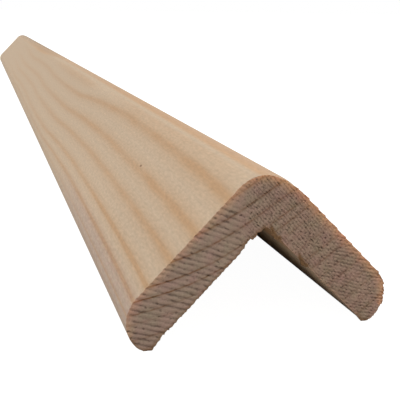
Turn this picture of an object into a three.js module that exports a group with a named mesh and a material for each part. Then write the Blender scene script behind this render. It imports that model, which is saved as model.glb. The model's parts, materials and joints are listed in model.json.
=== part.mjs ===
// A length of solid pine corner trim, the kind that covers an outside wall corner.
// It is one piece of moulded timber: two equal arms at a right angle, a rounded
// crown where they meet, rounded tips, flat glue faces inside, and both ends sawn
// square. It lies on its two tips with the crown up.
//
// Millimetres. +X across the section, +Y along the length, +Z up. The origin is
// midway along the length, under the crown, level with the two tips.
import * as THREE from "three";

// Driving dimensions
const LENGTH = 580;
const ARM = 34; // from the sharp corner that the outer faces would make to the arm's tip
const WALL = 7.5; // thickness of each arm, outer face to glue face
const CROWN_RADIUS = 7; // rounding of the outside corner
const ROOT_RADIUS = 0.5; // what the cutter leaves in the inside corner

// The tip of an arm is a quarter round from the outer face to a crest, then a
// tighter round, the heel, that runs out at an arris on the glue face.
const CREST_SHARE = 0.76; // of the wall's thickness, how much is outside the crest
const HEEL_TURN_DEG = 52; // how far the heel turns from the crest to the arris

const ARC_STEPS = 12; // half the facets on each round
const QUARTER_TURN = Math.PI / 2;
const ARM_SLOPE = QUARTER_TURN / 2; // how steeply each arm falls from the crown
const PINE = { color: 0xc8b096, roughness: 0.72, metalness: 0 };

// Worked out from them
const CREST_DEPTH = CREST_SHARE * WALL;
const HEEL_TURN = THREE.MathUtils.degToRad(HEEL_TURN_DEG);
const HEEL_RADIUS = (WALL - CREST_DEPTH) / Math.sin(HEEL_TURN);

// The way a round's surface faces, for the arm on one side (-1 left, 1 right). Turn
// 0 faces along the arm past its tip, and a quarter turn faces as the glue face does.
function facing(side, turn) {
  const angle = -ARM_SLOPE - turn;
  return side > 0 ? angle : Math.PI - angle;
}

// A point of the section from its place on one arm: along is measured from the
// sharp outer corner towards the tip, and depth in from the outer face.
function onArm(side, along, depth, cornerHeight) {
  const x = along * Math.cos(ARM_SLOPE) - depth * Math.sin(ARM_SLOPE);
  const z = cornerHeight - along * Math.sin(ARM_SLOPE) - depth * Math.cos(ARM_SLOPE);
  return new THREE.Vector2(side * x, z);
}

// Height of the sharp outer corner over the lowest point of the tips. The lowest
// point is on the heel, where it faces straight down.
function sharpCornerHeight() {
  const lowestTurn = Math.min(QUARTER_TURN - ARM_SLOPE, HEEL_TURN);
  const along = ARM - HEEL_RADIUS + HEEL_RADIUS * Math.cos(lowestTurn);
  const depth = CREST_DEPTH + HEEL_RADIUS * Math.sin(lowestTurn);
  return along * Math.sin(ARM_SLOPE) + depth * Math.cos(ARM_SLOPE);
}

// The outline, anticlockwise from the crown's right side: crown, left outer face,
// left tip, left glue face, root, right glue face, right tip, right outer face.
function sectionShape() {
  const corner = sharpCornerHeight();
  const shape = new THREE.Shape();

  const round = (centre, radius, from, to, inward = false) =>
    shape.absarc(centre.x, centre.y, radius, from, to, inward);
  const crestCentre = (side) => onArm(side, ARM - CREST_DEPTH, CREST_DEPTH, corner);
  const heelCentre = (side) => onArm(side, ARM - HEEL_RADIUS, CREST_DEPTH, corner);

  const crown = onArm(1, CROWN_RADIUS, CROWN_RADIUS, corner);
  round(crown, CROWN_RADIUS, facing(1, -QUARTER_TURN), facing(-1, -QUARTER_TURN));

  round(crestCentre(-1), CREST_DEPTH, facing(-1, -QUARTER_TURN), facing(-1, 0));
  round(heelCentre(-1), HEEL_RADIUS, facing(-1, 0), facing(-1, HEEL_TURN));

  const root = onArm(1, WALL + ROOT_RADIUS, WALL + ROOT_RADIUS, corner);
  round(root, ROOT_RADIUS, facing(-1, -QUARTER_TURN), facing(1, -QUARTER_TURN), true);

  round(heelCentre(1), HEEL_RADIUS, facing(1, HEEL_TURN), facing(1, 0));
  round(crestCentre(1), CREST_DEPTH, facing(1, 0), facing(1, -QUARTER_TURN));
  shape.closePath();
  return shape;
}

// The section is drawn flat, run out along its own normal and stood up, so that it
// lies along Y with half its length each way.
function cornerTrim() {
  const geometry = new THREE.ExtrudeGeometry(sectionShape(), {
    depth: LENGTH,
    steps: 1,
    curveSegments: ARC_STEPS,
    bevelEnabled: false,
  });
  const trim = new THREE.Mesh(geometry, new THREE.MeshStandardMaterial(PINE));
  trim.name = "corner_trim";
  trim.rotation.x = QUARTER_TURN;
  trim.position.y = LENGTH / 2;
  return trim;
}

const part = new THREE.Group();
part.add(cornerTrim());

export default part;
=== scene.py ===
"""A length of solid pine corner trim, dressed around its packed construction model.

The moulded section is drawn and run out along the length, and the skin near each end
is torn as a saw tears it. A rough sawn blank is cut to that section, and the faces
along the new arrises are split into triangles. One field of growth rings runs through
the whole block, so streaks on the planed faces meet ring lines on the sawn ends.
"""

import json
import math
from collections import Counter
from typing import NamedTuple

import bpy
from mathutils import Euler, Matrix, Vector, noise
from mathutils.kdtree import KDTree


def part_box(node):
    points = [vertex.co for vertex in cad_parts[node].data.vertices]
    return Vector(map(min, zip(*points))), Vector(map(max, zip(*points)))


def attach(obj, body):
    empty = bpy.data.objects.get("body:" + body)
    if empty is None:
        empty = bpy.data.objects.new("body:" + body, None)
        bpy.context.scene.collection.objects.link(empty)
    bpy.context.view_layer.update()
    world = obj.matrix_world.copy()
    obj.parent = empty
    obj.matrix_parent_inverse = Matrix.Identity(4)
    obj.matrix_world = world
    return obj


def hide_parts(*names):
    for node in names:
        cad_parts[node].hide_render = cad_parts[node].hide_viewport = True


bl_info = {
    "name": "Pine corner trim",
    "version": (1, 0, 0),
    "blender": (4, 5, 0),
    "location": "View3D > Sidebar > Corner trim",
    "description": "Models a moulded pine corner trim with planed faces and sawn ends",
    "category": "Add Mesh",
}

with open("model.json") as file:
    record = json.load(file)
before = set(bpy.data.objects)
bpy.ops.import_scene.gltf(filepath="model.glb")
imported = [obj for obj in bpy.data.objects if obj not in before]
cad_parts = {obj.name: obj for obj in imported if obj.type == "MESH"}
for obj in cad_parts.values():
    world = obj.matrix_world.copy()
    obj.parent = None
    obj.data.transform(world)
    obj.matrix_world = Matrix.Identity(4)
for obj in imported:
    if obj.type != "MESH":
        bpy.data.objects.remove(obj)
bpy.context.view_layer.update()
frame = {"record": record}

MM = 0.001
ROOT_TWO = math.sqrt(2)
TURN = 2 * math.pi
QUARTER_TURN = math.pi / 2
LEFT, RIGHT = -1, 1
NEAR, FAR = -1, 1

# The numbers of the trim's two materials.
PLANED, SAWN = 0, 1

# The section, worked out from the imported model's box and from where its glue face lies.
LOW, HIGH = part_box("corner_trim")
LENGTH = HIGH.y - LOW.y
CROWN_RADIUS = 7 * MM
ROOT_RADIUS = 0.5 * MM
CREST_SHARE = 0.76
HEEL_TURN = math.radians(52)
SHARP_CORNER = HIGH.z + CROWN_RADIUS * (ROOT_TWO - 1)
MOUNTS = {mount["name"]: Vector(mount["pos_m"]) for mount in frame["record"]["mounts"]}
GLUE_POINT = MOUNTS["left_glue_face"]
WALL = (SHARP_CORNER - abs(GLUE_POINT.x) - GLUE_POINT.z) / ROOT_TWO
CREST_DEPTH = CREST_SHARE * WALL
HEEL_RADIUS = (WALL - CREST_DEPTH) / math.sin(HEEL_TURN)
ARM = ROOT_TWO * (HIGH.x - CREST_DEPTH) + 2 * CREST_DEPTH

# Where the heel meets the glue face: along the arm, and across the section in millimetres.
ARRIS = ARM - HEEL_RADIUS * (1 - math.cos(HEEL_TURN))
TIP_ARRIS = (ARRIS - WALL) / ROOT_TWO / MM

# The moulding: how far it runs past each sawn end before the cut, its first lengthwise
# step and how much each next one grows, and the most cuts that one subdivision makes.
OVERRUN = 0.5 * MM
FIRST_STEP = 0.13 * MM
STEP_GROWTH = 1.42
MOST_CUTS = 100

# Points closer than this become one: on the drawn outline, and after the cut.
OUTLINE_WELD = 0.01 * MM
CUT_WELD = 0.005 * MM

# The sawn ends: how far from them the skin is torn, how far the blank stands out past the
# section, the most that a sawn face lies in, and how squarely it looks along the length.
TORN_REACH = 1.8 * MM
BLANK_MARGIN = 1 * MM
SAWN_DEPTH_LIMIT = 0.6 * MM
SAWN_FACING = 0.4

# Faces that meet at less than this angle are shaded as one surface.
SMOOTH_BELOW = math.radians(40)

# The saw's marks on the ends, in millimetres, and how steeply they fall to the right.
SAW_PITCH = 0.87
FINE_SAW_PITCH = 0.57
SAW_SLOPE = 0.36

# The marks are steepest at one place across, and ease off to both sides of it.
STEEPEST_AT = -4
STEEPEST_FALL = 0.46
FALL_EASE = 0.0043

# The rows of small pits across the apex: their pitch in millimetres and which way they run.
STITCH_PITCH = 0.46
STITCH_LEAN = (0.75, 0.66)

# Where each growth ring is darkest, in millimetres through the block, and how dark it is.
RINGS = (
    (-2.0, 0.6),
    (1.8, 0.8),
    (3.7, 1.0),
    (6.6, 1.0),
    (9.3, 0.85),
    (12.2, 0.85),
    (13.95, 0.9),
    (16.0, 0.5),
    (17.5, 0.25),
    (20.1, 0.4),
    (22.8, 0.7),
    (25.1, 0.7),
    (27.8, 0.4),
    (30.35, 0.6),
    (32.95, 0.4),
    (35.4, 0.6),
    (37.8, 0.4),
    (40.05, 0.7),
    (43.2, 0.5),
    (46.5, 0.5),
)

# How far through each ring its darkest line lies, from 0 at its start to 1 at its end.
DARKEST = 0.72

# How the rings lie across the section, in millimetres: they bow up to both sides of a
# low place, over a width and by a height, and the whole field tilts.
BOW_AT = -9
BOW_WIDTH = 8
BOW_HEIGHT = 2.29
RING_TILT = 0.412

# A dark speck on the left face: across, along the length and down from the sharp corner.
SPECK = (-9.83, 41.5, 9.83)

# How far the rings wander along the length: share of the length, and millimetres.
WANDER = (
    (0.0, 0.0),
    (0.11, -0.45),
    (0.17, -0.2),
    (0.225, 0.4),
    (0.275, 0.95),
    (0.36, 1.1),
    (0.48, 0.5),
    (0.6, 0.9),
    (0.74, 0.2),
    (0.88, 0.5),
    (1.0, 0.1),
)

# The least and the most that they can wander, in millimetres.
WANDER_RANGE = (-1.0, 1.5)

# The photograph's viewpoint: how the camera is turned, in degrees, and where it stands
# from the sharp corner of the near end, in millimetres. Its sensor is in millimetres too.
CAMERA_YAW = 17.87
CAMERA_PITCH = 15.6
CAMERA_ROLL = 0.75
CAMERA_SEAT = (-39.28, -89.17, 20.38)
SENSOR_WIDTH = 36

# Each sun: its strength's name on the stage, where it shines from, and its spread in degrees.
SUNS = (
    ("key", (-0.38, -0.12, 0.92), 24),
    ("back", (0.65, 0.55, 0.6), 40),
    ("side", (-0.95, -0.1, 0.2), 60),
)

# The floor: its radius in metres, the colour that lights the trim, and what the camera
# sees, which is a glow and a little of the light that falls there.
FLOOR_RADIUS = 30
FLOOR_COLOUR = (0.65, 0.63, 0.6, 1)
FLOOR_SHADE = (0.25, 0.25, 0.25, 1)
FLOOR_GLOW = 0.975


class SawnEnd(NamedTuple):
    """What sets one sawn end apart from the other. Places are across, in millimetres."""

    side: int
    seed: float
    notch: float
    wear: float
    tufts: tuple


ENDS = {
    NEAR: SawnEnd(side=NEAR, seed=3.1, notch=-2.6, wear=1.5, tufts=(1.7, 6.6)),
    FAR: SawnEnd(side=FAR, seed=31.7, notch=-9.4, wear=0.7, tufts=(4.3, 13.2)),
}


class TrimSizes(bpy.types.PropertyGroup):
    """How finely the trim is modelled and how hard the saw was on it."""

    outline_pitch: bpy.props.FloatProperty(
        name="Outline pitch",
        description="Spacing of the points round the section",
        default=0.22 * MM,
        unit="LENGTH",
    )
    sawn_pitch: bpy.props.FloatProperty(
        name="Sawn face pitch",
        description="Spacing of the points across a sawn end",
        default=0.125 * MM,
        unit="LENGTH",
    )
    ridge_depth: bpy.props.FloatProperty(
        name="Saw ridge depth",
        description="How deep the saw's teeth scored the ends",
        default=0.12 * MM,
        unit="LENGTH",
    )
    pore_depth: bpy.props.FloatProperty(
        name="Torn pore depth",
        description="How deep fibres were pulled out of the ends",
        default=0.16 * MM,
        unit="LENGTH",
    )
    splinter_height: bpy.props.FloatProperty(
        name="Splinter height",
        description="How far torn fibres stand out at the arrises of the ends",
        default=0.2 * MM,
        unit="LENGTH",
    )


class PineColours(bpy.types.PropertyGroup):
    """The colours of the wood, in linear light."""

    earlywood: bpy.props.FloatVectorProperty(
        name="Earlywood",
        description="The pale wood between the streaks",
        subtype="COLOR",
        size=4,
        default=(0.548, 0.411, 0.281, 1),
    )
    latewood: bpy.props.FloatVectorProperty(
        name="Latewood",
        description="The dense orange wood of the streaks",
        subtype="COLOR",
        size=4,
        default=(0.505, 0.31, 0.166, 1),
    )
    end_grain: bpy.props.FloatVectorProperty(
        name="End grain",
        description="The sawn ends between the ring lines",
        subtype="COLOR",
        size=4,
        default=(0.415, 0.29, 0.22, 1),
    )
    ring_line: bpy.props.FloatVectorProperty(
        name="Ring line",
        description="The growth rings where they show on the sawn ends",
        subtype="COLOR",
        size=4,
        default=(0.22, 0.112, 0.054, 1),
    )
    # The rim is partly painted light, as of light glowing through the thin edge.
    rim: bpy.props.FloatVectorProperty(
        name="Rim",
        description="The warm edge of a sawn end, where the planed skin shows through",
        subtype="COLOR",
        size=4,
        default=(0.56, 0.285, 0.145, 1),
    )
    torn_fibre: bpy.props.FloatVectorProperty(
        name="Torn fibre",
        description="The brown fibres left hanging at the arrises",
        subtype="COLOR",
        size=4,
        default=(0.22, 0.115, 0.047, 1),
    )


class StageLook(bpy.types.PropertyGroup):
    """The camera's lens and the strength of the lights."""

    lens: bpy.props.FloatProperty(
        name="Lens",
        description="Focal length in millimetres on a 36 mm sensor",
        default=60.7,
    )
    key: bpy.props.FloatProperty(
        name="Key light", description="Sunlight from above, a little to the left", default=1.93
    )
    back: bpy.props.FloatProperty(
        name="Back light", description="Weak light from the far right", default=0.8
    )
    side: bpy.props.FloatProperty(
        name="Side light", description="Weak light from low on the left", default=0.3
    )
    sky: bpy.props.FloatProperty(
        name="Sky", description="Light from all round", default=0.34
    )


def on_arm(side, along, depth, y=0.0):
    """A point from its place on one arm.

    along is measured from the sharp outer corner towards the tip, depth in from the
    outer face.
    """
    x = (along - depth) / ROOT_TWO
    return Vector((side * x, y, SHARP_CORNER - (along + depth) / ROOT_TWO))


def smooth(start, end, value):
    """0 at the start, 1 at the end, and an even curve between them."""
    share = min(1.0, max(0.0, (value - start) / (end - start)))
    return share * share * (3 - 2 * share)


def rough(x, z, seed):
    """Noise from about -0.7 to 0.7 that varies over a distance of 1."""
    return noise.noise(Vector((x, z, seed)))


def deselect():
    """Leaves nothing selected, as operators act on all that is."""
    if bpy.context.mode != "OBJECT":
        bpy.ops.object.mode_set(mode="OBJECT")
    bpy.ops.object.select_all(action="DESELECT")


def named(name):
    """The object just added, under its own name."""
    made = bpy.context.object
    made.name = made.data.name = name
    return made


def turn_about(centre, radius, angle):
    """Turns the picked point about a centre and leaves the arc behind it.

    A positive angle runs anticlockwise, seen from the near end.
    """
    pitch = bpy.context.scene.trim_sizes.outline_pitch
    steps = max(4, round(radius * abs(angle) / pitch))
    bpy.ops.mesh.spin(steps=steps, angle=angle, center=centre, axis=(0, 1, 0))


def run_straight(across, up, distance):
    """Draws the picked point on along one of the section's diagonals."""
    step = Vector((across, 0, up)).normalized() * distance
    bpy.ops.mesh.extrude_region_move(TRANSFORM_OT_translate={"value": step})


def draw_outline(y):
    """Draws the closed section, from the crown's right side round by the left arm."""
    outer_run = ARM - CREST_DEPTH - CROWN_RADIUS
    glue_run = ARRIS - WALL - ROOT_RADIUS
    crown = on_arm(RIGHT, CROWN_RADIUS, CROWN_RADIUS, y)
    root = on_arm(RIGHT, WALL + ROOT_RADIUS, WALL + ROOT_RADIUS, y)

    def crest(side):
        return on_arm(side, ARM - CREST_DEPTH, CREST_DEPTH, y)

    def heel(side):
        return on_arm(side, ARM - HEEL_RADIUS, CREST_DEPTH, y)

    start = on_arm(RIGHT, CROWN_RADIUS, 0, y)
    bpy.ops.mesh.primitive_plane_add(size=WALL, location=start)
    section = named("corner_trim_planed")
    bpy.ops.object.transform_apply(location=True, rotation=True, scale=True)
    bpy.ops.object.mode_set(mode="EDIT")
    bpy.ops.mesh.select_mode(type="VERT")
    bpy.ops.mesh.select_all(action="SELECT")
    bpy.ops.mesh.merge(type="CENTER")

    turn_about(crown, CROWN_RADIUS, QUARTER_TURN)
    run_straight(-1, -1, outer_run)
    turn_about(crest(LEFT), CREST_DEPTH, QUARTER_TURN)
    turn_about(heel(LEFT), HEEL_RADIUS, HEEL_TURN)
    run_straight(1, 1, glue_run)
    turn_about(root, ROOT_RADIUS, -QUARTER_TURN)
    run_straight(1, -1, glue_run)
    turn_about(heel(RIGHT), HEEL_RADIUS, HEEL_TURN)
    turn_about(crest(RIGHT), CREST_DEPTH, QUARTER_TURN)
    run_straight(-1, 1, outer_run)

    bpy.ops.mesh.select_all(action="SELECT")
    bpy.ops.mesh.remove_doubles(threshold=OUTLINE_WELD)
    divide_straights(section)
    return section


def divide_straights(section):
    """Gives the outline's straight stretches points as close as its rounds have."""
    pitch = bpy.context.scene.trim_sizes.outline_pitch
    bpy.ops.object.mode_set(mode="OBJECT")
    points = section.data.vertices
    for point in points:
        point.select = False
    longest = 0.0
    for edge in section.data.edges:
        start, end = (points[index].co for index in edge.vertices)
        span = (start - end).length
        edge.select = span > 4 * pitch
        longest = max(longest, span)
    bpy.ops.object.mode_set(mode="EDIT")
    bpy.ops.mesh.select_mode(type="EDGE")
    bpy.ops.mesh.subdivide(number_cuts=min(MOST_CUTS, round(longest / pitch)))


def lengthwise_steps():
    """Steps along the length, short near both ends and longer towards the middle."""
    half, step, reach = [], FIRST_STEP, 0.0
    while reach + step < LENGTH / 2:
        half.append(step)
        reach += step
        step *= STEP_GROWTH
    return [*half, LENGTH - 2 * reach, *reversed(half)]


def mould_length():
    """Runs the section out along the length and a little past both sawn ends."""
    section = draw_outline(-LENGTH / 2 - OVERRUN)
    bpy.ops.mesh.select_all(action="SELECT")
    bpy.ops.mesh.edge_face_add()
    for step in (OVERRUN, *lengthwise_steps(), OVERRUN):
        bpy.ops.mesh.extrude_region_move(TRANSFORM_OT_translate={"value": (0, step, 0)})
    bpy.ops.mesh.select_all(action="SELECT")
    bpy.ops.mesh.normals_make_consistent(inside=False)
    bpy.ops.object.mode_set(mode="OBJECT")
    return section


def from_corner(point):
    """A point's place on the section in millimetres, across and up from the sharp corner."""
    return point.co.x / MM, (point.co.z - SHARP_CORNER) / MM


def depth_at(x, z):
    """How deep a place on the section lies below the outer faces, in metres."""
    return -(abs(x) + z) / ROOT_TWO * MM


def along_at(x, z):
    """How far a place on the section lies along its arm, in millimetres."""
    return (abs(x) - z) / ROOT_TWO


def end_near(point):
    """The sawn end that a point is nearer to."""
    return ENDS[math.copysign(1, point.co.y)]


def saw_line(x, z, seed):
    """Distance in millimetres across the saw's marks, which fall to the right and waver."""
    from_steepest = x - STEEPEST_AT
    fall = STEEPEST_FALL * from_steepest - FALL_EASE * from_steepest * abs(from_steepest)
    across = (fall + z) / math.hypot(1, SAW_SLOPE)
    return across + 0.35 * rough(x / 9, z / 9, seed) + 0.07 * rough(x, z, seed + 2)


def torn_inside(x, z, end):
    """How far the skin stands out at the arris of a glue face, as a share.

    Tufts hang on the right. On the left each saw mark bites, and one notch is gone.
    """
    ragged = rough(x / 0.4, z / 0.4, end.seed)
    tip = 1.3 * smooth(1.4, 0, abs(abs(x) - TIP_ARRIS))
    if x > 0:
        tufts = sum(smooth(1, 0, abs(x - tuft)) for tuft in end.tufts)
        return tufts * (2.2 + ragged) + 0.5 * ragged + tip
    marks = saw_line(x, z, end.seed) / SAW_PITCH
    bite = 0.25 + 1.25 * smooth(0, 0.3, rough(1.7 * math.floor(marks), 0, end.seed))
    notch = smooth(0.6, 0.2, abs(x - end.notch))
    return 0.35 - bite * (marks % 1) - 0.5 * abs(ragged) - 1.5 * notch + tip


def torn_outside(x, z, end):
    """How far the skin stands out at the arris of an outer face, as a share.

    The crown has a lip and a worn place. The right arm is stepped, and frayed at its tip.
    """
    along = along_at(x, z)
    ragged = rough(along / 0.35, 0, end.seed + 1)
    lip = smooth(-6, -2, x) * smooth(1.5, -0.5, x)
    worn = end.wear * (smooth(0.8, 3.2, x) * smooth(5.8, 4.2, x) - 0.7 * lip)
    if x < 0:
        return -0.2 * smooth(0, 0.5, ragged) - worn
    step = (along / 2.4 + 0.5 * rough(along / 4, 0, end.seed)) % 1
    fray = smooth(0.7, 1, along * MM / ARM)
    return 0.8 * step * step + (0.15 + 1.1 * fray) * ragged - worn


def tear_arrises(trim):
    """Lifts and breaks the skin close to each sawn end, where the saw came through."""
    height = bpy.context.scene.trim_sizes.splinter_height
    torn_share = trim.data.attributes.new("torn", "FLOAT", "POINT")
    for index, point in enumerate(trim.data.vertices):
        from_end = LENGTH / 2 - abs(point.co.y)
        if from_end > TORN_REACH:
            continue
        x, z = from_corner(point)
        on_glue_face = depth_at(x, z) > 0.9 * WALL
        torn = torn_inside if on_glue_face else torn_outside
        out = Vector((point.normal.x, 0, point.normal.z)).normalized()
        lift = torn(x, z, end_near(point)) * smooth(TORN_REACH, 0, max(from_end, 0))
        point.co += out * lift * height
        point.co.z = max(point.co.z, 0)
        stained = 0.5 * smooth(TORN_REACH, 0, from_end) if x > 0 and on_glue_face else 0
        torn_share.data[index].value = max(stained, smooth(0.7, 1.6, lift))


def sawn_depth(x, z, seed):
    """How deep the sawn surface lies in metres, at a place on the section in millimetres.

    The saw left coarse grooves on the left arm and fine scratches on the right tip. Rows
    of pits lie between them, and fibres were pulled out all over.
    """
    sizes = bpy.context.scene.trim_sizes
    across = saw_line(x, z, seed)
    with_mark = x - SAW_SLOPE * z
    strand = rough(with_mark / 1.2, across / 0.6, seed + 5)
    dash = rough(with_mark / 0.35, across / 0.22, seed + 7)
    force = smooth(-0.35, 0.35, rough(with_mark / 6, across / 1.1, seed + 3))

    left, right = smooth(-1.5, -5, x), smooth(6, 12, x)
    groove = 0.5 - 0.5 * math.cos(TURN * across / SAW_PITCH)
    scratch = 0.5 - 0.5 * math.cos(TURN * across / FINE_SAW_PITCH)
    marks = left * groove**1.4 + right * 0.85 * scratch
    marks *= (0.65 + 0.65 * force) * max(0.15, 0.9 + 0.8 * strand + 0.6 * dash)

    lean, rise = STITCH_LEAN
    over, down = lean * x + rise * z, rise * x - lean * z
    sway = 0.5 * rough(x / 2.5, z / 2.5, seed + 11)
    row = math.sin(TURN * (over / STITCH_PITCH + sway))
    stitch = smooth(-0.5, 1, 0.6 * row + 1.3 * rough(down / 0.45, over / 0.2, seed + 13))
    weave = (1 - left - 0.45 * right) * 1.2 * stitch

    pull = rough((with_mark + 0.8 * across) / 0.6, across / 0.2, seed + 17)
    pore = smooth(0.28, 0.6, pull) * (0.35 + 0.65 * max(groove, 1 - left))
    grit = 0.12 + 0.25 * rough(x / 0.3, z / 0.3, seed + 23)
    return sizes.ridge_depth * max(0, marks + weave + grit) + sizes.pore_depth * pore


def sawn_grid(end):
    """A fine grid across one end, cut to the depths that the saw left."""
    pitch = bpy.context.scene.trim_sizes.sawn_pitch
    width = HIGH.x - LOW.x + 2 * BLANK_MARGIN
    height = HIGH.z - LOW.z + 2 * BLANK_MARGIN
    bpy.ops.mesh.primitive_grid_add(
        x_subdivisions=round(width / pitch),
        y_subdivisions=round(height / pitch),
        size=1,
        location=(0, end.side * LENGTH / 2, (HIGH.z + LOW.z) / 2),
        rotation=(QUARTER_TURN, 0, 0),
    )
    grid = named("sawn_end")
    grid.scale = (width, height, 1)
    bpy.ops.object.transform_apply(location=True, rotation=True, scale=True)
    spare = BLANK_MARGIN / 2
    for point in grid.data.vertices:
        x, z = from_corner(point)
        on_section = -spare < depth_at(x, z) < WALL + spare
        on_edge = abs(point.co.x) > HIGH.x + spare or point.co.z < -spare
        if on_section and not on_edge:
            point.co.y -= end.side * sawn_depth(x, z, end.seed)
    return grid


def saw_blank():
    """A block as large as the trim with both ends rough sawn."""
    deselect()
    grids = [sawn_grid(end) for end in ENDS.values()]
    for grid in grids:
        grid.select_set(True)
    bpy.ops.object.join()
    blank = named("sawn_blank")
    bpy.ops.object.mode_set(mode="EDIT")
    bpy.ops.mesh.select_mode(type="EDGE")
    bpy.ops.mesh.select_all(action="DESELECT")
    bpy.ops.mesh.select_non_manifold(use_wire=False, use_multi_face=False)
    bpy.ops.mesh.bridge_edge_loops()
    bpy.ops.mesh.select_all(action="SELECT")
    bpy.ops.mesh.normals_make_consistent(inside=False)
    bpy.ops.object.mode_set(mode="OBJECT")
    return blank


def cut_to_section(trim, blank):
    """Keeps what the moulded length and the sawn blank share, without near-equal points."""
    deselect()
    bpy.context.view_layer.objects.active = trim
    trim.select_set(True)
    cut = trim.modifiers.new("cut", "BOOLEAN")
    cut.operation = "INTERSECT"
    cut.solver = "MANIFOLD"
    cut.object = blank
    bpy.ops.object.modifier_apply(modifier=cut.name)
    bpy.data.objects.remove(blank)
    bpy.ops.object.mode_set(mode="EDIT")
    bpy.ops.mesh.select_all(action="SELECT")
    bpy.ops.mesh.remove_doubles(threshold=CUT_WELD)
    bpy.ops.object.mode_set(mode="OBJECT")


def rim_warmth(x, z, distance):
    """How warm and light a sawn end is at a distance in millimetres from its arris. The warm
    rim is partly painted light glowing through the thin edge, and its lightness is a painted
    highlight on the rounded arris.
    """
    if depth_at(x, z) > WALL / 2:
        return 0.15 * smooth(0.5, 0, distance)
    strength = 0.45 + 0.5 * smooth(-10, 0, x)
    return strength * smooth(1.9, -0.6, distance)


def planed_and_sawn(mesh):
    """The points of the planed faces and those of the sawn ones. An arris is in both."""
    planed, sawn = set(), set()
    for face in mesh.polygons:
        (sawn if face.material_index == SAWN else planed).update(face.vertices)
    return planed, sawn


def pick_faces(trim, wanted):
    """Goes into edit mode with only the faces selected for which wanted is true."""
    bpy.ops.object.mode_set(mode="EDIT")
    bpy.ops.mesh.select_mode(type="FACE")
    bpy.ops.mesh.select_all(action="DESELECT")
    bpy.ops.object.mode_set(mode="OBJECT")
    for face in trim.data.polygons:
        face.select = wanted(face)
    bpy.ops.object.mode_set(mode="EDIT")


def split_arrises(trim):
    """Makes triangles along the arrises, and takes out those that hang by one edge.

    Where the sawn and the planed side would get the same triangle, back to back, the
    conversion keeps one of the two, and it hangs on by one edge.
    """
    planed, sawn = planed_and_sawn(trim.data)
    arris = planed & sawn
    pick_faces(trim, lambda face: not arris.isdisjoint(face.vertices))
    bpy.ops.mesh.quads_convert_to_tris(quad_method="BEAUTY", ngon_method="BEAUTY")
    bpy.ops.object.mode_set(mode="OBJECT")
    uses = Counter(key for face in trim.data.polygons for key in face.edge_keys)
    pick_faces(trim, lambda face: sum(uses[key] == 1 for key in face.edge_keys) > 1)
    bpy.ops.mesh.delete(type="FACE")
    bpy.ops.object.mode_set(mode="OBJECT")


def stain(x, z, distance, tufts):
    """How much torn fibre colours a place on a sawn end at a distance from its arris."""
    corner = smooth(1.6, 0.4, abs(abs(x) - TIP_ARRIS)) * smooth(0.9, 0, distance)
    if depth_at(x, z) > WALL / 2:
        tufted = max(smooth(1.2, 0.7, abs(x - place)) for place in tufts)
        arris = tufted * smooth(0.8, 0.4, distance) if x > 0 else 0.6 * smooth(0.7, 0, distance)
        return max(arris, 0.9 * corner)
    frayed = smooth(0.72, 0.9, along_at(x, z) * MM / ARM) if x > 0 else 0
    return 0.5 * frayed * smooth(0.5, 0, distance)


def colour_rims(trim):
    """Writes on each point of the sawn ends its share of the rim's colour and painted
    highlight, and of the torn fibre's colour.
    """
    mesh = trim.data
    planed, sawn = planed_and_sawn(mesh)
    arris = planed & sawn
    tree = KDTree(len(arris))
    for index in arris:
        tree.insert(mesh.vertices[index].co, index)
    tree.balance()
    warmth = mesh.attributes.new("rim", "FLOAT", "POINT")
    torn_share = mesh.attributes["torn"]
    for index in sawn:
        point = mesh.vertices[index]
        x, z = from_corner(point)
        distance = tree.find(point.co)[2] / MM
        warmth.data[index].value = rim_warmth(x, z, distance)
        stained = stain(x, z, distance, end_near(point).tufts)
        if depth_at(x, z) <= WALL / 2:
            stained = max(torn_share.data[index].value, stained)
        torn_share.data[index].value = stained


class Wire:
    """A number or colour that runs between shader nodes. Arithmetic adds Math nodes."""

    def __init__(self, tree, socket):
        self.tree = tree
        self.socket = socket

    def __add__(self, other):
        return self.tree.math("ADD", self, other)

    def __sub__(self, other):
        return self.tree.math("SUBTRACT", self, other)

    def __rsub__(self, other):
        return self.tree.math("SUBTRACT", other, self)

    def __mul__(self, other):
        return self.tree.math("MULTIPLY", self, other)

    def __truediv__(self, other):
        return self.tree.math("DIVIDE", self, other)

    def __abs__(self):
        return self.tree.math("ABSOLUTE", self)

    __radd__ = __add__
    __rmul__ = __mul__


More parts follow.
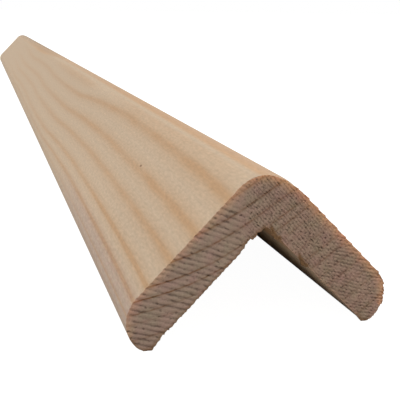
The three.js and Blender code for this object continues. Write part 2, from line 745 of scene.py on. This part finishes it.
class Nodes:
    """The shader nodes of one material or of the world."""

    def __init__(self, owner):
        owner.use_nodes = True
        self.nodes = owner.node_tree.nodes
        self.links = owner.node_tree.links
        self.nodes.clear()

    def node(self, kind, settings, inputs, output=0):
        """Adds a node with its settings and what its sockets hold, and gives one output."""
        made = self.nodes.new("ShaderNode" + kind)
        for key, value in settings.items():
            if key == "curve":
                bend(made.mapping, value)
            else:
                setattr(made, key, value)
        for key, value in inputs.items():
            socket = find_socket(made.inputs, key)
            if isinstance(value, Wire):
                self.links.new(value.socket, socket)
            else:
                socket.default_value = value
        return Wire(self, find_socket(made.outputs, output) if made.outputs else None)

    def math(self, operation, *values):
        """A sum on numbers, each of them fixed or a wire."""
        return self.node("Math", {"operation": operation}, dict(enumerate(values)))

    def place(self, x, y, z):
        """A position, or a colour, put together from three numbers."""
        return self.node("CombineXYZ", {}, {"X": x, "Y": y, "Z": z})

    def grey(self, value):
        """A grey of one lightness."""
        return self.place(value, value, value)

    def painted(self, name):
        """The share that the modelling wrote on each point under a name."""
        return self.node("Attribute", {"attribute_name": name}, {}, "Fac")

    def smooth(self, start, end, value):
        """0 at the start, 1 at the end, and an even curve between them."""
        inputs = {"Value": value, "From Min": start, "From Max": end}
        return self.node("MapRange", {"interpolation_type": "SMOOTHSTEP"}, inputs)

    def curve(self, value, points):
        """A smooth curve through points that lie between 0 and 1."""
        return self.node("FloatCurve", {"curve": points}, {"Value": value})

    def cloud(self, position, detail=2.0, roughness=0.5):
        """Soft noise round 0 that varies over a distance of 1."""
        inputs = {"Vector": position, "Scale": 1.0, "Detail": detail, "Roughness": roughness}
        return self.node("TexNoise", {}, inputs) - 0.5

    def mix(self, share, first, second, blend="MIX"):
        """Blends two colours."""
        settings = {"data_type": "RGBA", "blend_type": blend}
        inputs = {"Factor_Float": share, "A_Color": first, "B_Color": second}
        return self.node("Mix", settings, inputs, "Result_Color")

    def tint(self, colour, by):
        """Multiplies a colour by another."""
        return self.mix(1.0, colour, by, "MULTIPLY")

    def wood(self, colour, roughness, height, depth):
        """The wood's own shader. Height is scaled by a depth in metres."""
        normal = self.node("Bump", {}, {"Height": height, "Distance": depth})
        inputs = {"Base Color": colour, "Roughness": roughness, "Normal": normal}
        shader = self.node("BsdfPrincipled", {}, inputs)
        self.node("OutputMaterial", {}, {"Surface": shader})


def find_socket(sockets, key):
    """A node's socket, by its number or by its identifier or name."""
    if isinstance(key, int):
        return sockets[key]
    return next(socket for socket in sockets if key in (socket.identifier, socket.name))


def bend(mapping, points):
    """Shapes a curve node's curve."""
    first, *between, last = points
    curve = mapping.curves[0]
    curve.points[0].location = first
    curve.points[1].location = last
    for point in between:
        curve.points.new(*point)
    mapping.update()


class WoodPlace:
    """Where a shaded point lies in the wood, in millimetres."""

    def __init__(self, nodes):
        coordinates = nodes.node("TexCoord", {}, {}, "Object")
        scaled = {"Vector": coordinates, "Scale": 1 / MM}
        position = nodes.node("VectorMath", {"operation": "SCALE"}, scaled)
        parts = nodes.node("SeparateXYZ", {}, {"Vector": position})
        outputs = parts.socket.node.outputs
        self.nodes = nodes
        self.x = Wire(nodes, outputs["X"])
        self.y = Wire(nodes, outputs["Y"])
        self.length = self.y + LENGTH / 2 / MM
        self.drop = SHARP_CORNER / MM - Wire(nodes, outputs["Z"])
        self.along = (self.drop + abs(self.x)) / ROOT_TWO

    def spread(self, across, lengthwise):
        """A position for noise whose spots are so wide and so long."""
        lengthwise = self.length / lengthwise
        return self.nodes.place(self.x / across, lengthwise, self.drop / across)


def growth(place):
    """How far a point lies through its growth ring, 0 to 1, and how dark that ring grows."""
    nodes = place.nodes
    lean = nodes.math("COSH", (place.x - BOW_AT) / BOW_WIDTH)
    bow = place.x * RING_TILT + nodes.math("LOGARITHM", lean, math.e) * BOW_HEIGHT
    low, high = WANDER_RANGE
    points = [(share, (value - low) / (high - low)) for share, value in WANDER]
    wander = low + (high - low) * nodes.curve(place.length / (LENGTH / MM), points)
    drift = 1.6 * nodes.cloud(place.spread(34, 130))
    drift *= 0.2 + 0.8 * nodes.smooth(60, 300, place.length)
    level = bow + place.drop - wander + drift

    (outer, _), (inner, _), last = RINGS[0], RINGS[-1], len(RINGS) - 1
    share = (level - outer) / (inner - outer)
    cores = [(core - outer) / (inner - outer) for core, _ in RINGS]
    passed = nodes.curve(share, [(core, count / last) for count, core in enumerate(cores)])
    darkness = nodes.curve(share, [(core, dark) for core, (_, dark) in zip(cores, RINGS)])
    return nodes.math("FRACT", passed * last + DARKEST), darkness


def streaks(place, ring, darkness):
    """How much latewood a planed face shows. The streaks fade towards the far end."""
    nodes = place.nodes
    late = 0.5 * nodes.smooth(0.2, 0.68, ring) + 0.6 * nodes.smooth(0.5, 0.7, ring)
    late = late * (0.2 + 0.8 * nodes.smooth(1.0, 0.7, ring))
    late = (late + 0.22 * nodes.smooth(0.22, 0, ring)) * darkness
    crisp = nodes.smooth(0.58, 0.7, ring) * nodes.smooth(0.84, 0.74, ring)
    crisp = crisp * nodes.smooth(24, 26, place.along) * nodes.smooth(70, 40, place.length)
    late = late * (1 + 0.9 * nodes.cloud(place.spread(3, 9))) + 0.5 * crisp
    for fade, start, end in (0.25, 10, 60), (0.5, 90, 240), (0.85, 320, 490):
        late = late * (1 - fade * nodes.smooth(start, end, place.length))
    return late


def crown_flush(place):
    """How orange the streak on the crown is. It widens and fades towards the far end."""
    nodes = place.nodes
    start = -1.5 - 3.2 * nodes.smooth(240, 330, place.length)
    flush = nodes.smooth(start, start + 1.3, place.x) * nodes.smooth(6, 4, place.x)
    for fade, start, end in (0.4, 80, 200), (0.6, 380, 480):
        flush = flush * (1 - fade * nodes.smooth(start, end, place.length))
    return flush


def planed_tone(place, fibre, fleck, flush):
    """How light the planed wood is, by its fibres and by its place on the trim. The crown
    carries a painted highlight towards the near end and painted shade towards the far end, and
    the tips close to the near end are darker, partly painted shade.
    """
    nodes = place.nodes
    far = nodes.smooth(100, 420, place.length)
    tone = 1.01 + fibre * 0.25 + fleck * (0.52 - far * 0.15) + far * 0.03 + flush * 0.13
    # Painted highlight: the crown's shoulder is lighter, where more light falls on it, over the
    # nearer part of the length.
    tone = tone + 0.04 * nodes.smooth(7, 4, place.along) * nodes.smooth(320, 220, place.length)
    # Painted shade: the crown darkens towards the far end, most on its right side, which turns
    # away from the light.
    shaded = nodes.smooth(6, 3, place.along) * nodes.smooth(250, 330, place.length)
    far_crown_shade = nodes.smooth(-0.5, 2, place.x) * nodes.smooth(280, 400, place.length)
    # Darker towards the tips close to the near end: partly painted shade low on the arms,
    # partly darker wood.
    near = nodes.smooth(60, 10, place.length)
    near = near * (0.01 + 0.035 * nodes.smooth(13, 22, place.along))
    return tone - shaded * 0.12 - far_crown_shade * 0.2 - near


def grey_tip_tint(place):
    """The mottled grey by the tips, close to the near end: darker and bluer, partly painted
    shade and cool reflected light where the tips' rounds turn from the light, partly a grey on
    the wood.
    """
    nodes = place.nodes
    # Partly painted shade and reflection: the tips turn darker and bluer close to the near end.
    greyed_tip = nodes.smooth(26.5, 29.5, place.along) * nodes.smooth(110, 40, place.length)
    greyed_tip = greyed_tip * (1 - 0.3 * nodes.smooth(32, 34, place.along))
    mottle = nodes.cloud(place.spread(0.35, 1.3), 3.0, 0.6)
    red, green = greyed_tip * (0.125 + mottle * 0.3), greyed_tip * (0.135 + mottle * 0.6)
    return nodes.place(1 - red, 1 - green, 1 - greyed_tip * (0.04 + mottle * 0.5))


def speck_share(place):
    """1 in the dark speck and 0 round it. It is twice as long as it is wide."""
    nodes = place.nodes
    x, length, drop = SPECK
    from_speck = nodes.place(place.x - x, (place.length - length) / 2, place.drop - drop)
    settings, inputs = {"operation": "LENGTH"}, {"Vector": from_speck}
    return nodes.smooth(0.4, 0.1, nodes.node("VectorMath", settings, inputs, "Value"))


def planed_pine():
    """The long faces: pale wood with orange streaks, straight from the cutter."""
    colours = bpy.context.scene.pine_colours
    material = bpy.data.materials.new("planed_pine")
    nodes = Nodes(material)
    place = WoodPlace(nodes)

    flush = crown_flush(place)
    off_crown = nodes.smooth(-1.4, -3.2, place.x) + 0.8 * nodes.smooth(7, 10, place.x)
    late = streaks(place, *growth(place)) * off_crown + flush
    fibre = nodes.cloud(place.spread(0.22, 7), 4.0, 0.6)
    fleck = nodes.cloud(place.spread(0.5, 1.4), 3.0, 0.6)

    wood = nodes.mix(late, tuple(colours.earlywood), tuple(colours.latewood))
    # The tone holds painted light: a highlight on the crown's shoulder, shade on the far crown,
    # and part of the darkening by the near tips.
    wood = nodes.tint(wood, nodes.grey(planed_tone(place, fibre, fleck, flush)))
    # Darker, bluer tips close to the near end, partly painted shade.
    wood = nodes.tint(wood, grey_tip_tint(place))
    wood = nodes.mix(speck_share(place), wood, tuple(colours.ring_line))
    wood = nodes.mix(nodes.painted("torn"), wood, tuple(colours.torn_fibre))

    roughness = 0.55 - late * 0.08 + fibre * 0.1
    height = fibre * 0.6 + late * 0.5 + fleck * 0.4
    nodes.wood(wood, roughness, height, depth=0.02 * MM)
    return material


def ring_lines(place, ring, darkness):
    """How much the dark line and the soft latewood of each ring show on a sawn end."""
    nodes = place.nodes
    patchy = nodes.smooth(-0.2, 0.15, nodes.cloud(place.spread(1.6, 1.6)))
    rightness = nodes.smooth(-9, -3, place.x)
    line = nodes.smooth(0.62, 0.7, ring) * nodes.smooth(0.82, 0.74, ring)
    late = nodes.smooth(0.25, 0.7, ring) * nodes.smooth(1.0, 0.74, ring)
    line = line * (0.25 + 0.6 * patchy) * (1 - rightness * 0.3) + late * 0.22
    return line * darkness * (1 + 0.5 * nodes.smooth(-14, -16, place.x))


def end_blotches(place):
    """The uneven tint of a sawn end, redder and greener in turn and warmer to the right."""
    nodes = place.nodes
    blotch = nodes.cloud(place.spread(2.4, 2.4), 3.0)
    warmth = nodes.smooth(-10, 8, place.x) * 0.08
    green, blue = 1 - blotch * 0.22 - warmth * 0.6, 1 + blotch * 0.1 - warmth
    return nodes.place(1 + blotch * 0.25, green, blue)


def end_tone(place, fibre, rim):
    """How light a sawn end is: darker down in the marks, partly painted shade in the grooves
    and partly torn fibre, and lighter at the rim, a painted highlight on the rounded arris.
    """
    nodes = place.nodes
    shade = nodes.cloud(place.spread(4, 4), 3.0)
    cut = LENGTH / 2 / MM - abs(place.y)
    # Painted shade down in the saw's marks, and a painted highlight at the rim.
    tone = 1.08 - 0.42 * nodes.smooth(0.0, 0.22, cut) + fibre * 0.75 + shade * 0.3 + rim * 0.5
    by_crown = nodes.smooth(-9, -6, place.x) * nodes.smooth(2, -1, place.x)
    return tone + 0.06 * nodes.smooth(8, 14, place.x) - 0.12 * rim * by_crown


def sawn_pine():
    """The sawn ends: ring lines, scored and torn fibres, and a warm rim that is partly painted
    light, with painted shade in the marks.
    """
    colours = bpy.context.scene.pine_colours
    material = bpy.data.materials.new("sawn_pine")
    nodes = Nodes(material)
    place = WoodPlace(nodes)

    rim = nodes.painted("rim")
    uneven = rim * (1 + 0.8 * nodes.cloud(place.spread(1.4, 1.4)))
    fibre = nodes.cloud(place.spread(0.2, 0.2), 3.0, 0.65)

    line = ring_lines(place, *growth(place))
    wood = nodes.mix(line, tuple(colours.end_grain), tuple(colours.ring_line))
    # The rim's warm colour, partly painted light glowing through the thin edge.
    wood = nodes.mix(uneven, wood, tuple(colours.rim))
    wood = nodes.tint(wood, end_blotches(place))
    # The tone paints shade in the saw's marks and a highlight at the rim.
    wood = nodes.tint(wood, nodes.grey(end_tone(place, fibre, rim)))
    wood = nodes.mix(nodes.painted("torn"), wood, tuple(colours.torn_fibre))
    nodes.wood(wood, roughness=0.9, height=fibre, depth=0.05 * MM)
    return material


def dress(trim):
    """Gives the long faces the planed finish and the ends the sawn one."""
    trim.data.materials.clear()
    trim.data.materials.append(planed_pine())
    trim.data.materials.append(sawn_pine())
    deepest = LENGTH / 2 - SAWN_DEPTH_LIMIT
    for face in trim.data.polygons:
        sawn = abs(face.center.y) > deepest and abs(face.normal.y) > SAWN_FACING
        face.material_index = SAWN if sawn else PLANED


class TRIM_OT_corner_trim(bpy.types.Operator):
    """Model the moulded length with its two rough sawn ends"""

    bl_idname = "trim.corner_trim"
    bl_label = "Corner trim"

    def execute(self, context):
        deselect()
        trim = mould_length()
        tear_arrises(trim)
        cut_to_section(trim, saw_blank())
        bpy.ops.object.shade_smooth_by_angle(angle=SMOOTH_BELOW)
        dress(trim)
        colour_rims(trim)
        split_arrises(trim)
        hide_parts("corner_trim")
        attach(trim, "root")
        return {"FINISHED"}


def lay_floor():
    """A pale floor that hardly darkens in the trim's shade, and is clear from below."""
    deselect()
    bpy.ops.mesh.primitive_circle_add(vertices=96, radius=FLOOR_RADIUS, fill_type="NGON")
    floor = named("floor")
    material = bpy.data.materials.new("pale_floor")
    nodes = Nodes(material)
    paint = nodes.node("BsdfDiffuse", {}, {"Color": FLOOR_COLOUR})
    shade = nodes.node("BsdfDiffuse", {}, {"Color": FLOOR_SHADE})
    glow = nodes.node("Emission", {}, {"Strength": FLOOR_GLOW})
    lit = nodes.node("AddShader", {}, {0: shade, 1: glow})
    seen = nodes.node("LightPath", {}, {}, "Is Camera Ray")
    above = nodes.node("MixShader", {}, {0: seen, 1: paint, 2: lit})
    behind = nodes.node("NewGeometry", {}, {}, "Backfacing")
    clear = nodes.node("BsdfTransparent", {}, {})
    surface = nodes.node("MixShader", {}, {0: behind, 1: above, 2: clear})
    nodes.node("OutputMaterial", {}, {"Surface": surface})
    floor.data.materials.append(material)


def add_sun(name, towards, energy, spread):
    """A sun that shines from a direction, softer the wider it is spread in degrees."""
    bpy.ops.object.light_add(type="SUN", location=towards)
    sun = bpy.context.object
    sun.name = name
    sun.rotation_euler = towards.to_track_quat("Z", "Y").to_euler()
    sun.data.energy = energy
    sun.data.angle = math.radians(spread)


def light_room(look):
    """White behind the trim, and soft light from above, behind, the left and all round."""
    world = bpy.data.worlds.new("pale_room")
    bpy.context.scene.world = world
    nodes = Nodes(world)
    seen = nodes.node("LightPath", {}, {}, "Is Camera Ray")
    strength = look.sky + seen * (1 - look.sky)
    background = nodes.node("Background", {}, {"Color": (1, 1, 1, 1), "Strength": strength})
    nodes.node("OutputWorld", {}, {"Surface": background})
    for name, towards, spread in SUNS:
        add_sun(name, Vector(towards), getattr(look, name), spread)


def place_camera(look):
    """The photograph's viewpoint: close to the near end, above it and to its left."""
    turns = (CAMERA_YAW, CAMERA_PITCH, CAMERA_ROLL)
    yaw, pitch, roll = (math.radians(angle) for angle in turns)
    near_end = Vector((0, -LENGTH / 2, SHARP_CORNER))
    bpy.ops.object.camera_add(location=near_end + Vector(CAMERA_SEAT) * MM)
    camera = bpy.context.object
    camera.name = "camera"
    aim = Euler((QUARTER_TURN - pitch, 0, -yaw)).to_matrix() @ Matrix.Rotation(roll, 3, "Z")
    camera.rotation_euler = aim.to_euler()
    camera.data.sensor_width = SENSOR_WIDTH
    camera.data.lens = look.lens
    camera.data.clip_start = 5 * MM
    camera.data.clip_end = 100
    bpy.context.scene.camera = camera


class TRIM_OT_stage(bpy.types.Operator):
    """Lay the pale floor, light it and set the camera"""

    bl_idname = "trim.stage"
    bl_label = "Stage"

    def execute(self, context):
        look = context.scene.stage_look
        context.scene.view_settings.view_transform = "Standard"
        lay_floor()
        light_room(look)
        place_camera(look)
        return {"FINISHED"}


class TRIM_PT_panel(bpy.types.Panel):
    """Shows the buttons that model the trim and set up the stage"""

    bl_label = "Corner trim"
    bl_space_type = "VIEW_3D"
    bl_region_type = "UI"
    bl_category = "Corner trim"

    def draw(self, context):
        for operator in (TRIM_OT_corner_trim, TRIM_OT_stage):
            self.layout.operator(operator.bl_idname)


GROUPS = {"trim_sizes": TrimSizes, "pine_colours": PineColours, "stage_look": StageLook}
CLASSES = (*GROUPS.values(), TRIM_OT_corner_trim, TRIM_OT_stage, TRIM_PT_panel)


def register():
    """Makes the settings, the operators and the panel known to Blender."""
    for item in CLASSES:
        bpy.utils.register_class(item)
    for name, group in GROUPS.items():
        setattr(bpy.types.Scene, name, bpy.props.PointerProperty(type=group))


def unregister():
    """Takes back what register did."""
    for name in GROUPS:
        delattr(bpy.types.Scene, name)
    for item in reversed(CLASSES):
        bpy.utils.unregister_class(item)


def main():
    register()
    bpy.ops.trim.stage()
    bpy.ops.trim.corner_trim()


if __name__ == "__main__":
    main()
